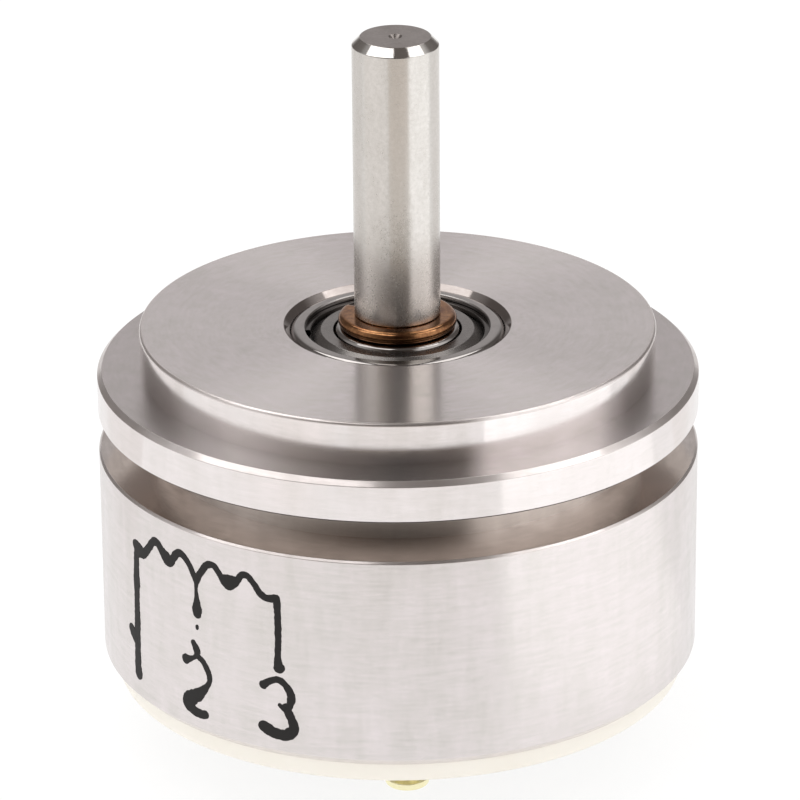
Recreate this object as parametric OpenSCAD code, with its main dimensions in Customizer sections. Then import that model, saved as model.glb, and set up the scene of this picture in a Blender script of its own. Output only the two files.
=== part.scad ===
// Single-turn rotary potentiometer with a servo mount and a shaft in two ball bearings.
// Z = 0 is the mounting face of the flange, +Z points out along the shaft,
// and the front of the part, where its centre terminal stands, is towards -Y.

/* [Housing] */
// Outer diameter of the flange and of the can
body_d = 22.225; // [21.6:0.1:26]
// Diameter of the pilot that centres the part in its panel
pilot_d = 19.05; // [16:0.05:20.4]
// Height of the pilot in front of the mounting face
pilot_h = 1.57; // [1.1:0.05:2.5]
// Thickness of the flange that the servo clamps hold
flange_t = 1.57; // [1.1:0.05:2.5]
// Width of the clamp groove behind the flange
groove_w = 1.5; // [1.1:0.05:2.5]
// Diameter at the bottom of the clamp groove
groove_root_d = 18.0; // [15:0.1:20]
// Length of the can behind the groove
can_len = 8.13; // [7.6:0.1:14]
// Wall of the can
can_wall = 1.0; // [0.6:0.05:1.6]
// Metal left between the groove and the chamber of the can
front_wall = 1.53; // [0.8:0.05:2]
// Wall of the boss that holds the rear bearing
boss_wall = 1.23; // [0.8:0.05:2]
// Chamfer round the pilot
pilot_edge = 0.12; // [0.05:0.01:0.3]
// Chamfer round the front of the flange
flange_edge = 0.18; // [0.05:0.01:0.4]
// Broken edges of the groove
groove_edge = 0.08; // [0.02:0.01:0.2]
// Chamfer round the rear of the can
rear_edge = 0.35; // [0.1:0.05:0.5]
// Chamfer at the mouth of the bearing bore
bore_edge = 0.22; // [0.1:0.01:0.4]
// Reach of the boss behind the rear bearing
boss_reach = 0.08; // [0.04:0.01:0.2]

/* [Bearings] */
// Outer diameter of each ball bearing
bearing_od = 7.9375; // [7.6:0.05:9.5]
// Width of each ball bearing
bearing_w = 3.571; // [3.3:0.05:4]
// Diameter of a ball, as a share of the space between the shaft and the ring's outside
ball_share = 0.667; // [0.55:0.001:0.68]
// Balls in each bearing
ball_count = 7; // [5:1:8]
// Depth of the front bearing below the face of the pilot
bearing_recess = 0.1; // [0:0.05:0.4]
// Thickness of the shoulder between the two bearings
shoulder_t = 0.65; // [0.4:0.05:1.1]
// Height of that shoulder above the bore
shoulder_h = 0.65; // [0.3:0.05:0.9]
// Gap between the lands of the inner and the outer ring, as a share of a ball
land_share = 0.6; // [0.5:0.01:0.7]
// Corner radius of a bearing, round its outside and round its bore
ring_corner = 0.3; // [0.1:0.02:0.34]
// Rounding of the inner ring's shoulders
shoulder_round = 0.2; // [0.05:0.01:0.25]
// Broken edge at the mouth of the outer ring
mouth_edge = 0.06; // [0.03:0.01:0.1]
// Thickness of the lip in front of a snap ring
lip_t = 0.18; // [0.12:0.01:0.25]
// Height of that lip over its groove
lip_h = 0.2; // [0.1:0.01:0.25]
// Thickness of the sheet metal of a shield
shield_t = 0.12; // [0.08:0.01:0.15]
// Depth of a shield below the face of its bearing
shield_inset = 0.12; // [0.05:0.01:0.2]
// Width of a shield's flat round the inner ring
shield_flat_w = 0.45; // [0.35:0.01:0.55]
// Thickness of the wire ring that holds a shield
snap_t = 0.2; // [0.15:0.01:0.25]
// Angle left open in that ring
snap_open = 20; // [10:1:40]
// Radial wall of the ball cage
cage_wall = 0.42; // [0.3:0.02:0.5]
// Height of the cage's ring above the balls
cage_web = 0.3; // [0.2:0.02:0.35]

/* [Shaft] */
// Diameter of the shaft
shaft_d = 3.175; // [2.4:0.05:3.5]
// Length of the shaft in front of the mounting face
shaft_out = 12.7; // [8:0.1:25]
// Chamfer at the free end of the shaft
shaft_edge = 0.3; // [0.1:0.05:0.5]
// Diameter of the centre mark in the free end
centre_mark_d = 0.5; // [0.3:0.05:0.8]
// Outer diameter of the retaining ring
clip_d = 4.38; // [4:0.02:4.8]
// Thickness of the retaining ring
clip_t = 0.5; // [0.3:0.05:0.8]
// Depth of its groove in the shaft
clip_groove = 0.2; // [0.1:0.02:0.3]
// Angle left open in the retaining ring
clip_open = 50; // [20:5:90]
// Direction of that opening, from the +X axis
clip_angle = 132; // [0:1:360]
// Reach of the shaft behind the disc of the wiper hub
shaft_end_out = 0.35; // [0.2:0.05:0.6]

/* [Rotor] */
// Thickness of the spring steel of the preload washer
washer_t = 0.1; // [0.06:0.01:0.15]
// Height of the preload washer over its waves
washer_h = 0.3; // [0.2:0.02:0.5]
// Waves round the preload washer
washer_waves = 3; // [2:1:5]
// Wall of the hub round the shaft
hub_wall = 1.0; // [0.8:0.05:1.5]
// Diameter of the hub's disc
hub_disc_d = 10.0; // [9.4:0.1:12]
// Thickness of the hub's disc
hub_disc_t = 0.8; // [0.5:0.05:1]
// Diameter of the hub's studs
stud_d = 0.7; // [0.5:0.05:0.9]
// Diameter of the studs' heads
stud_head_d = 1.24; // [1:0.02:1.4]
// Thickness of the studs' heads
stud_head_t = 0.22; // [0.15:0.01:0.3]
// Thickness of the sheet of the wiper arm
arm_t = 0.15; // [0.1:0.01:0.25]
// Width of the wiper arm
arm_w = 2.6; // [2:0.1:3]
// Height of the wiper arm above the tracks
arm_lift = 0.75; // [0.6:0.05:1]
// Step from the rim of the hub's disc in to the ring of the wiper arm
arm_inset = 0.45; // [0.3:0.05:0.6]
// Thickness of the strip of the wipers
finger_t = 0.08; // [0.05:0.01:0.12]
// Width of one finger of a wiper
finger_w = 0.14; // [0.08:0.01:0.16]
// Distance between the fingers of a wiper
finger_pitch = 0.2; // [0.19:0.01:0.22]
// Fingers of the wiper on the resistive track
track_fingers = 6; // [3:1:7]
// Fingers of the wiper on the collector track
collector_fingers = 4; // [2:1:5]
// Reach of the wipers along their track from the arm's centre line
wiper_reach = 1.9; // [1.7:0.1:2.3]
// Length of a wiper behind the arm's centre line
finger_root = 0.6; // [0.4:0.05:0.9]
// Distance of the fingers' bend from that centre line
finger_bend = 0.5; // [0.4:0.05:0.8]
// Diameter of the rounded tip of a finger
finger_tip_d = 0.14; // [0.12:0.01:0.2]
// Length of the turned-up end of a finger
finger_toe = 0.28; // [0.2:0.02:0.4]
// Angle of that end above the track
finger_toe_angle = 40; // [30:5:60]

/* [Element] */
// Thickness of the element's substrate
substrate_t = 0.8; // [0.5:0.05:1.2]
// Thickness of the moulded resistive and collector tracks
track_t = 0.05; // [0.03:0.01:0.1]
// Thickness of the silver traces
trace_t = 0.04; // [0.02:0.01:0.08]
// Mean diameter of the resistive track
track_d = 16.2; // [15.6:0.1:17]
// Width of the resistive track
track_w = 1.6; // [1.4:0.1:1.8]
// Angle without resistive track, at the back
track_gap = 14; // [8:1:30]
// Mean diameter of the collector track
collector_d = 6.6; // [6.4:0.1:7.2]
// Width of the collector track
collector_w = 1.2; // [1:0.1:1.4]
// Width of the silver traces
trace_w = 0.8; // [0.5:0.05:1.2]
// Width of the silver round a terminal's head
trace_ring = 0.15; // [0.1:0.05:0.4]
// Angle of the silver bars at the ends of the resistive track
trace_end = 3; // [2:0.5:3.5]

/* [Rear cover and terminals] */
// Thickness of the cover's rim behind the can
cover_t = 0.77; // [0.5:0.05:1.5]
// Step from the can's wall in to the cover's rim
cover_step = 0.5; // [0.2:0.05:0.8]
// Height of the cover's plug inside the can
plug_h = 1.1; // [0.8:0.05:1.5]
// Broken edges of the cover
cover_edge = 0.15; // [0.05:0.05:0.3]
// Depth of the recess in the middle of the cover
recess_h = 0.25; // [0.1:0.05:0.4]
// Width of the flat between that recess and the bosses round the terminals
recess_land = 0.9; // [0.5:0.1:1.5]
// Height of the moulded bosses round the terminals
pad_h = 0.2; // [0.1:0.05:0.5]
// Diameter of those bosses
pad_d = 2.8; // [2:0.1:3.4]
// Diameter of the circle through the terminals
terminal_circle_d = 11.0; // [10.6:0.1:12]
// Angle between neighbouring terminals
terminal_step = 120; // [90:5:130]
// Angle of the centre terminal from the -Y axis
terminal_turn = 2.4; // [0:0.1:10]
// Reach of the terminals behind the cover
terminal_out = 2.6; // [2:0.1:6]
// Diameter of a terminal's collars
terminal_head_d = 1.64; // [1.2:0.02:1.8]
// Diameter of a terminal between its collars
terminal_neck_d = 0.9; // [0.6:0.02:1]
// Thickness of a terminal's collars
terminal_collar_t = 0.3; // [0.2:0.02:0.4]
// Chamfer at a terminal's tip
terminal_edge = 0.12; // [0.05:0.01:0.2]
// Thickness of a terminal's head inside
terminal_rivet_t = 0.22; // [0.15:0.01:0.3]

/* [Fits] */
// Radial gap of a fixed part in its seat
seat_gap = 0.005; // [0.003:0.001:0.01]
// Radial gap between a ball and its races
ball_gap = 0.03; // [0.02:0.005:0.05]
// Gap between a ball and its pocket in the cage
pocket_gap = 0.06; // [0.04:0.01:0.1]
// Gap between a shield and the ring that turns past it
shield_gap = 0.07; // [0.04:0.01:0.1]
// Radial gap on both sides of the preload washer
washer_gap = 0.06; // [0.03:0.01:0.1]
// Radial gap between the shaft and the ring of the wiper arm
arm_gap = 0.42; // [0.2:0.02:0.6]
// Gap between parts that lie on each other
rest_gap = 0.02; // [0.01:0.01:0.05]
// Gap between the tips of the fingers and their track
touch_gap = 0.03; // [0.02:0.01:0.05]
// Radial gap round the substrate in the can
substrate_gap = 0.1; // [0.05:0.05:0.3]

/* [Hidden] */
$fn = 96;

// Overlap of cuts and of joined shapes, for clean solids
eps = 0.01;
// Largest angle between two points of a rounded corner
corner_step = 15;

// Radii of the housing
body_r = body_d / 2;
pilot_r = pilot_d / 2;
groove_r = groove_root_d / 2;
can_r = body_r - can_wall;
seat_r = bearing_od / 2 + seat_gap;
boss_r = seat_r + boss_wall;

// Heights of the housing, from the pilot's face back to the can's rear edge
groove_front_z = -flange_t;
groove_back_z = groove_front_z - groove_w;
can_rear_z = groove_back_z - can_len;
chamber_z = groove_back_z - front_wall;

// Heights of the bearings: centres and faces
front_bearing_z = pilot_h - bearing_recess - bearing_w / 2;
rear_bearing_z = front_bearing_z - bearing_w - shoulder_t;
bearing_front_z = front_bearing_z + bearing_w / 2;
bearing_rear_z = rear_bearing_z - bearing_w / 2;
boss_z = bearing_rear_z - boss_reach;

// Section of a bearing
bearing_r = bearing_od / 2;
shaft_r = shaft_d / 2;
pitch_r = (bearing_r + shaft_r) / 2;
ball_r = ball_share * (bearing_r - shaft_r) / 2;
land_gap = land_share * 2 * ball_r;
race_r = ball_r + ball_gap;
inner_land_r = pitch_r - land_gap / 2;
outer_land_r = pitch_r + land_gap / 2;
shield_groove_r = (outer_land_r + bearing_r) / 2;
mouth_r = shield_groove_r - lip_h;
snap_z = bearing_w / 2 - lip_t - rest_gap / 2;
shield_seat_z = snap_z - snap_t - rest_gap;
shield_flat_z = bearing_w / 2 - shield_inset;
shield_r = shield_groove_r - rest_gap;
shield_slope_r = outer_land_r - shield_gap;
shield_bore_r = inner_land_r + shield_gap;
shield_flat_r = shield_bore_r + shield_flat_w;
cage_top = ball_r + cage_web;
cage_bottom = -ball_r / 2;

// Retaining ring and its groove in the shaft
clip_z = bearing_front_z + rest_gap;
clip_root_r = shaft_r - clip_groove;

// Rotor stack, from the rear bearing back to the tracks
plug_top_z = can_rear_z + plug_h;
substrate_top_z = plug_top_z + substrate_t;
track_top_z = substrate_top_z + track_t;
arm_bottom_z = track_top_z + arm_lift;
disc_bottom_z = arm_bottom_z + arm_t + rest_gap;
washer_top_z = bearing_rear_z - rest_gap;
hub_top_z = washer_top_z - washer_h - rest_gap;
hub_r = shaft_r + hub_wall;
shaft_rear_z = disc_bottom_z - shaft_end_out;
arm_bore_r = shaft_r + arm_gap;
arm_ring_r = hub_disc_d / 2 - arm_inset;
stud_at = (arm_bore_r + arm_ring_r) / 2;
stud_head_r = stud_head_d / 2;
stud_head_z = arm_bottom_z - rest_gap - stud_head_t;

// Element and terminals
substrate_r = can_r - substrate_gap;
track_mid_r = track_d / 2;
collector_mid_r = collector_d / 2;
collector_out_r = collector_mid_r + collector_w / 2;
terminal_r = terminal_circle_d / 2;
neck_r = terminal_neck_d / 2;
head_r = terminal_head_d / 2;
cover_rear_z = can_rear_z - cover_t;
pad_z = cover_rear_z - pad_h;
tip_z = cover_rear_z - terminal_out;
cover_r = body_r - cover_step;
plug_r = can_r - seat_gap;
recess_r = terminal_r - pad_d / 2 - recess_land;

// Fingers of the wipers
finger_z = arm_bottom_z - finger_t / 2 - rest_gap;
finger_tip_r = finger_tip_d / 2;
finger_drop = finger_z - (track_top_z + touch_gap + finger_tip_r);
finger_slope = atan2(finger_drop, wiper_reach - finger_bend);

// Solid of revolution from a list of [radius, height] points
module turned(points) rotate_extrude() polygon(points);

// Points of a rounded corner about [r, z], from one angle to another
function round_corner(r, z, radius, from, to) =
    let (steps = ceil(abs(to - from) / corner_step))
    [for (i = [0:steps]) let (a = from + (to - from) * i / steps)
        [r + radius * cos(a), z + radius * sin(a)]];

// Part of a ring of rectangular section, from one angle to another
module ring_part(inner, outer, bottom, height, from, to)
    rotate([0, 0, from]) rotate_extrude(angle = to - from)
        translate([inner, bottom]) square([outer - inner, height]);

// Turned housing: pilot, flange, clamp groove and can, bored for the two bearings
module housing() color("#c9c8c5") difference() {
    turned([
        [0, pilot_h],
        [pilot_r - pilot_edge, pilot_h], [pilot_r, pilot_h - pilot_edge],
        [pilot_r, 0],
        [body_r - flange_edge, 0], [body_r, -flange_edge],
        [body_r, groove_front_z + groove_edge], [body_r - groove_edge, groove_front_z],
        [groove_r, groove_front_z], [groove_r, groove_back_z],
        [body_r - groove_edge, groove_back_z], [body_r, groove_back_z - groove_edge],
        [body_r, can_rear_z + rear_edge], [body_r - rear_edge, can_rear_z],
        [can_r, can_rear_z], [can_r, chamber_z],
        [boss_r, chamber_z], [boss_r, boss_z], [0, boss_z]]);
    turned([
        [0, pilot_h + eps], [seat_r + bore_edge + eps, pilot_h + eps],
        [seat_r, pilot_h - bore_edge],
        [seat_r, rear_bearing_z + bearing_w / 2 + shoulder_t],
        [seat_r - shoulder_h, rear_bearing_z + bearing_w / 2 + shoulder_t],
        [seat_r - shoulder_h, rear_bearing_z + bearing_w / 2],
        [seat_r, rear_bearing_z + bearing_w / 2],
        [seat_r, boss_z - eps], [0, boss_z - eps]]);
}

// Ring of circular section that cuts the race of a bearing ring
module race() rotate_extrude() translate([pitch_r, 0]) circle(race_r);

// Outer ring, with a stepped groove on each side for a shield and its snap ring
module outer_ring() difference() {
    half = bearing_w / 2;
    corner_r = bearing_r - ring_corner;
    corner_z = half - ring_corner;
    turned(concat(
        [[mouth_r, half - mouth_edge], [mouth_r + mouth_edge, half]],
        round_corner(corner_r, corner_z, ring_corner, 90, 0),
        round_corner(corner_r, -corner_z, ring_corner, 0, -90),
        [[mouth_r + mouth_edge, -half], [mouth_r, -half + mouth_edge],
        [mouth_r, -half + lip_t], [shield_groove_r, -half + lip_t],
        [shield_groove_r, -shield_seat_z + shield_t + rest_gap],
        [outer_land_r, -shield_seat_z + shield_t + rest_gap],
        [outer_land_r, shield_seat_z - shield_t - rest_gap],
        [shield_groove_r, shield_seat_z - shield_t - rest_gap],
        [shield_groove_r, half - lip_t], [mouth_r, half - lip_t]]));
    race();
}

// Inner ring, on the shaft
module inner_ring() difference() {
    half = bearing_w / 2;
    bore_r = shaft_r + seat_gap;
    land_round_r = inner_land_r - shoulder_round;
    turned(concat(
        round_corner(bore_r + ring_corner, half - ring_corner, ring_corner, 180, 90),
        round_corner(land_round_r, half - shoulder_round, shoulder_round, 90, 0),
        round_corner(land_round_r, -half + shoulder_round, shoulder_round, 0, -90),
        round_corner(bore_r + ring_corner, -half + ring_corner, ring_corner, -90, -180)));
    race();
}

module balls()
    for (i = [0:ball_count - 1])
        rotate([0, 0, i * 360 / ball_count]) translate([pitch_r, 0, 0]) sphere(ball_r);

// Crown cage: a ring whose pockets are open on one side, so that the balls snap in
module cage() difference() {
    ring_part(pitch_r - cage_wall / 2, pitch_r + cage_wall / 2,
        cage_bottom, cage_top - cage_bottom, 0, 360);
    for (i = [0:ball_count - 1])
        rotate([0, 0, i * 360 / ball_count]) translate([pitch_r, 0, 0])
            sphere(ball_r + pocket_gap);
}

// Pressed shield: a flat ring round the inner ring, and a lower rim in the outer ring
module shield() turned([
    [shield_bore_r, shield_flat_z], [shield_flat_r, shield_flat_z],
    [shield_slope_r, shield_seat_z], [shield_r, shield_seat_z],
    [shield_r, shield_seat_z - shield_t],
    [shield_slope_r - shield_t / 2, shield_seat_z - shield_t],
    [shield_flat_r - shield_t / 2, shield_flat_z - shield_t],
    [shield_bore_r, shield_flat_z - shield_t]]);

// Open wire ring that locks a shield in its groove
module snap_ring()
    ring_part(shield_slope_r + rest_gap, shield_groove_r - rest_gap,
        snap_z - snap_t, snap_t, 180 + snap_open, 540);

// Ground shaft with the groove of its retaining ring and a centre mark in its free end
module shaft() color("#b8b4ad") difference() {
    turned([
        [0, shaft_out], [shaft_r - shaft_edge, shaft_out], [shaft_r, shaft_out - shaft_edge],
        [shaft_r, clip_z + clip_t + rest_gap], [clip_root_r, clip_z + clip_t + rest_gap],
        [clip_root_r, clip_z - rest_gap / 2], [shaft_r, clip_z - rest_gap / 2],
        [shaft_r, shaft_rear_z + shaft_edge / 2], [shaft_r - shaft_edge / 2, shaft_rear_z],
        [0, shaft_rear_z]]);
    turned([[0, shaft_out + eps], [centre_mark_d / 2 + eps, shaft_out + eps],
        [0, shaft_out - centre_mark_d / 2]]);
}

// Open bronze ring in the shaft's groove, in front of the front bearing, round on its outside
module retaining_ring() color("#a8743f")
    rotate([0, 0, clip_angle + clip_open / 2]) rotate_extrude(angle = 360 - clip_open) {
        inner = clip_root_r + rest_gap;
        half = clip_t / 2;
        polygon(concat(
            [[inner, clip_z + clip_t], [inner, clip_z]],
            round_corner(clip_d / 2 - half, clip_z + half, half, -90, 90)));
    }

// Height of the middle of the washer's sheet at an angle
function wave(angle) = washer_top_z - washer_h / 2
    + (washer_h - washer_t) / 2 * cos(washer_waves * angle);

// Corners of the washer's section at an angle
function washer_section(a, inner, outer) =
    [for (c = [[inner, -1], [outer, -1], [outer, 1], [inner, 1]])
        [c[0] * cos(a), c[0] * sin(a), wave(a) + c[1] * washer_t / 2]];

// Wave washer that presses the rear inner ring forward
module preload_washer() color("#9b9a98") {
    steps = 48;
    points = [for (i = [0:steps - 1])
        each washer_section(i * 360 / steps, shaft_r + washer_gap, inner_land_r - washer_gap)];
    faces = [for (i = [0:steps - 1], k = [0:3])
        let (j = (i + 1) % steps, m = (k + 1) % 4)
        [4 * i + k, 4 * j + k, 4 * j + m, 4 * i + m]];
    polyhedron(points, faces, convexity = 6);
}

// Moulded hub on the shaft, with a disc and two studs that are headed over under the arm
module wiper_hub() color("#3b3936") difference() {
    union() {
        translate([0, 0, disc_bottom_z]) cylinder(h = hub_top_z - disc_bottom_z, r = hub_r);
        translate([0, 0, disc_bottom_z]) cylinder(h = hub_disc_t, d = hub_disc_d);
        for (side = [-1, 1]) translate([side * stud_at, 0, stud_head_z]) {
            cylinder(h = disc_bottom_z - stud_head_z + eps, d = stud_d);
            cylinder(h = stud_head_t, r1 = stud_head_r - stud_head_t / 2, r2 = stud_head_r);
        }
    }
    translate([0, 0, shaft_rear_z - eps])
        cylinder(h = hub_top_z - shaft_rear_z + 2 * eps, r = shaft_r + seat_gap);
}

// Stamped wiper arm under the hub's disc, pointing to -Y at the middle of its travel
module wiper_arm() color("#b98f4a") translate([0, 0, arm_bottom_z]) difference() {
    linear_extrude(arm_t) difference() {
        union() {
            circle(arm_ring_r);
            translate([-arm_w / 2, -track_mid_r - track_w / 2])
                square([arm_w, track_mid_r + track_w / 2]);
        }
        circle(arm_bore_r);
        for (side = [-1, 1]) translate([side * stud_at, 0]) circle(stud_d / 2 + rest_gap);
    }
}

// Side view of a wiper finger: its root under the arm, its slope and its turned-up tip
module finger_side() {
    half_t = finger_t / 2;
    translate([-finger_root, -half_t]) square([finger_bend + finger_root, finger_t]);
    translate([finger_bend, 0]) {
        circle(half_t);
        rotate(-finger_slope) translate([0, -half_t])
            square([norm([wiper_reach - finger_bend, finger_drop]), finger_t]);
    }
    translate([wiper_reach, -finger_drop]) {
        circle(finger_tip_r);
        rotate(finger_toe_angle) translate([0, -half_t]) square([finger_toe, finger_t]);
    }
}

// Stamped comb of fingers that bears on a track of a given mean radius
module wiper_comb(count, mid_r) {
    across = sqrt(mid_r * mid_r - wiper_reach * wiper_reach);
    comb_w = (count - 1) * finger_pitch + finger_w;
    translate([0, comb_w / 2 - across, finger_z]) difference() {
        rotate([90, 0, 0]) linear_extrude(comb_w) finger_side();
        for (i = [1:count - 1])
            translate([finger_bend - finger_t, -i * finger_pitch, -arm_lift])
                cube([wiper_reach + finger_toe, finger_pitch - finger_w, 2 * arm_lift]);
    }
}

module track_wiper() color("#e0c070") wiper_comb(track_fingers, track_mid_r);

module collector_wiper() color("#e0c070") wiper_comb(collector_fingers, collector_mid_r);

// Angle of each terminal: the centre one is number 2
function terminal_angle(n) = -90 + terminal_turn + (n - 2) * terminal_step;

module at_terminal(n)
    rotate([0, 0, terminal_angle(n)]) translate([terminal_r, 0, 0]) children();

// Gold-plated turret terminal, headed over on the element inside
module terminal(n) color("#d9b44a") at_terminal(n) {
    rivet_z = substrate_top_z + trace_t + rest_gap;
    rivet_top_z = rivet_z + terminal_rivet_t;
    seat_z = pad_z - rest_gap;
    mid_z = (pad_z + tip_z) / 2;
    half_t = terminal_collar_t / 2;
    turned([
        [0, rivet_top_z], [head_r - terminal_rivet_t, rivet_top_z],
        [head_r, rivet_z + terminal_rivet_t / 2], [head_r, rivet_z],
        [neck_r, rivet_z], [neck_r, seat_z],
        [head_r, seat_z], [head_r, seat_z - terminal_collar_t],
        [neck_r, seat_z - terminal_collar_t], [neck_r, mid_z + half_t],
        [head_r, mid_z + half_t], [head_r, mid_z - half_t],
        [neck_r, mid_z - half_t], [neck_r, tip_z + terminal_collar_t],
        [head_r, tip_z + terminal_collar_t], [head_r, tip_z + terminal_edge],
        [head_r - terminal_edge, tip_z], [0, tip_z]]);
}

// Moulded rear cover: a plug in the can, a rim against its edge and three terminal bosses
module rear_cover() color("#ebe7dc") difference() {
    union() {
        turned([
            [0, plug_top_z], [plug_r - cover_edge, plug_top_z],
            [plug_r, plug_top_z - cover_edge], [plug_r, can_rear_z - rest_gap],
            [cover_r, can_rear_z - rest_gap], [cover_r, cover_rear_z + cover_edge],
            [cover_r - cover_edge, cover_rear_z], [recess_r, cover_rear_z],
            [recess_r - cover_edge, cover_rear_z + recess_h], [0, cover_rear_z + recess_h]]);
        for (n = [1:3]) at_terminal(n) translate([0, 0, pad_z])
            cylinder(h = pad_h + eps, d1 = pad_d - pad_h, d2 = pad_d);
    }
    for (n = [1:3]) at_terminal(n) translate([0, 0, pad_z - eps])
        cylinder(h = plug_top_z - pad_z + 2 * eps, r = neck_r + seat_gap);
}

// Disc that carries the tracks, on the cover's plug
module element_substrate() color("#6b4a2f") difference() {
    translate([0, 0, plug_top_z + rest_gap])
        cylinder(h = substrate_t - rest_gap, r = substrate_r);
    for (n = [1:3]) at_terminal(n) translate([0, 0, plug_top_z])
        cylinder(h = substrate_t + eps, r = neck_r + seat_gap);
}

// Conductive plastic track, open at the back
module resistive_track() color("#1d1c1b")
    ring_part(track_mid_r - track_w / 2, track_mid_r + track_w / 2,
        substrate_top_z, track_t, 90 + track_gap / 2, 450 - track_gap / 2);

module collector_track() color("#1d1c1b")
    ring_part(collector_out_r - collector_w, collector_out_r, substrate_top_z, track_t, 0, 360);

// Pad round a terminal
module trace_pad(n) at_terminal(n) translate([0, 0, substrate_top_z])
    cylinder(h = trace_t, r = head_r + trace_ring);

// Printed traces from the ends of the resistive track and from the collector to the terminals
module silver_traces() color("#c4c4c0") difference() {
    end_angle = track_gap / 2;
    trace_angle = end_angle - trace_end;
    union() {
        for (side = [-1, 1]) {
            n = 2 - side;
            ends = [90 + side * end_angle, 90 + side * trace_angle];
            terminal_at = side > 0 ? terminal_angle(n) + 360 : terminal_angle(n);
            ring_part(terminal_r - trace_w / 2, track_mid_r + track_w / 2,
                substrate_top_z, trace_t, min(ends), max(ends));
            ring_part(terminal_r - trace_w / 2, terminal_r + trace_w / 2,
                substrate_top_z, trace_t, min(ends[1], terminal_at), max(ends[1], terminal_at));
            trace_pad(n);
        }
        trace_pad(2);
        rotate([0, 0, terminal_angle(2)])
            translate([collector_out_r - eps, -trace_w / 2, substrate_top_z])
                cube([terminal_r - collector_out_r, trace_w, trace_t]);
    }
    translate([0, 0, substrate_top_z - eps])
        cylinder(h = trace_t + 2 * eps, r = collector_out_r);
    for (n = [1:3]) at_terminal(n) translate([0, 0, substrate_top_z - eps])
        cylinder(h = trace_t + 2 * eps, r = neck_r + seat_gap);
}

// A bearing part at the front or at the rear bearing; the outer side faces out of the housing
module at_front() translate([0, 0, front_bearing_z]) children();
module at_rear() translate([0, 0, rear_bearing_z]) mirror([0, 0, 1]) children();
ring_color = "#8f8d8c";
shield_color = "#7d7b7a";

housing();
rear_cover();
terminal(1);  // terminal_1
terminal(2);  // terminal_2
terminal(3);  // terminal_3
element_substrate();
resistive_track();
collector_track();
silver_traces();
color(ring_color) at_front() outer_ring();  // front_bearing_outer_ring
color(ring_color) at_front() inner_ring();  // front_bearing_inner_ring
color("#d6d6d4") at_front() balls();  // front_bearing_balls
color("#5a5148") at_front() cage();  // front_bearing_cage
color(shield_color) at_front() shield();  // front_bearing_outer_shield
color(shield_color) at_front() mirror([0, 0, 1]) shield();  // front_bearing_inner_shield
color(ring_color) at_front() snap_ring();  // front_bearing_outer_snap_ring
color(ring_color) at_front() mirror([0, 0, 1]) snap_ring();  // front_bearing_inner_snap_ring
color(ring_color) at_rear() outer_ring();  // rear_bearing_outer_ring
color(ring_color) at_rear() inner_ring();  // rear_bearing_inner_ring
color("#d6d6d4") at_rear() balls();  // rear_bearing_balls
color("#5a5148") at_rear() cage();  // rear_bearing_cage
color(shield_color) at_rear() shield();  // rear_bearing_outer_shield
color(shield_color) at_rear() mirror([0, 0, 1]) shield();  // rear_bearing_inner_shield
color(ring_color) at_rear() snap_ring();  // rear_bearing_outer_snap_ring
color(ring_color) at_rear() mirror([0, 0, 1]) snap_ring();  // rear_bearing_inner_snap_ring
shaft();
retaining_ring();
preload_washer();
wiper_hub();
wiper_arm();
track_wiper();
collector_wiper();
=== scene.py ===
import math

import bpy
from mathutils import Matrix, Vector, noise


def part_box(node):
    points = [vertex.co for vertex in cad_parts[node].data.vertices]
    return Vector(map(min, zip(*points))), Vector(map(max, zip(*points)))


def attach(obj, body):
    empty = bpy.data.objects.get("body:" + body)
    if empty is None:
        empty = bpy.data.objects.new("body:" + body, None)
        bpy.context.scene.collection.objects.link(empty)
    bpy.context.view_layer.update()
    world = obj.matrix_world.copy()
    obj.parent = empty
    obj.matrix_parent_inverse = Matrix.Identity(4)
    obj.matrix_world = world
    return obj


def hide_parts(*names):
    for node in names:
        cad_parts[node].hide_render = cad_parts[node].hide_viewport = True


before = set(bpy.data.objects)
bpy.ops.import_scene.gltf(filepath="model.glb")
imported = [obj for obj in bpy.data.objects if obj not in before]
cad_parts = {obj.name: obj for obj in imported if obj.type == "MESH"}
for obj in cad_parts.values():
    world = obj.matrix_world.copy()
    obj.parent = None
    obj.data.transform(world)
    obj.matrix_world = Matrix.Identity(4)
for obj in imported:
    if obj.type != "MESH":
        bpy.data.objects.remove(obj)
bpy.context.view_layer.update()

# Camera. It stands in front of the part and looks down on it through a long lens,
# so that the sides of the can run almost parallel, and leans a little to the right.
mm = 0.001
housing_low, housing_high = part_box("housing")
pilot_top = housing_high.z / mm
camera_lens = 239.97
camera_sensor = 36.0
camera_distance = 196.44
camera_pitch = math.radians(22.91)
camera_roll = math.radians(-0.4435)
camera_rise = -2.855
camera_side = 0.069

camera_data = bpy.data.cameras.new("camera")
camera_data.lens = camera_lens
camera_data.sensor_width = camera_sensor
camera_data.clip_start = 0.01
camera = bpy.data.objects.new("camera", camera_data)
camera.matrix_world = (
    Matrix.Translation(mm * Vector((
        camera_side,
        camera_rise * math.sin(camera_pitch) - camera_distance * math.cos(camera_pitch),
        pilot_top + camera_rise * math.cos(camera_pitch) + camera_distance * math.sin(camera_pitch))))
    @ Matrix.Rotation(math.pi / 2 - camera_pitch, 4, "X")
    @ Matrix.Rotation(camera_roll, 4, "Z"))
bpy.context.scene.collection.objects.link(camera)
bpy.context.scene.camera = camera

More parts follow.
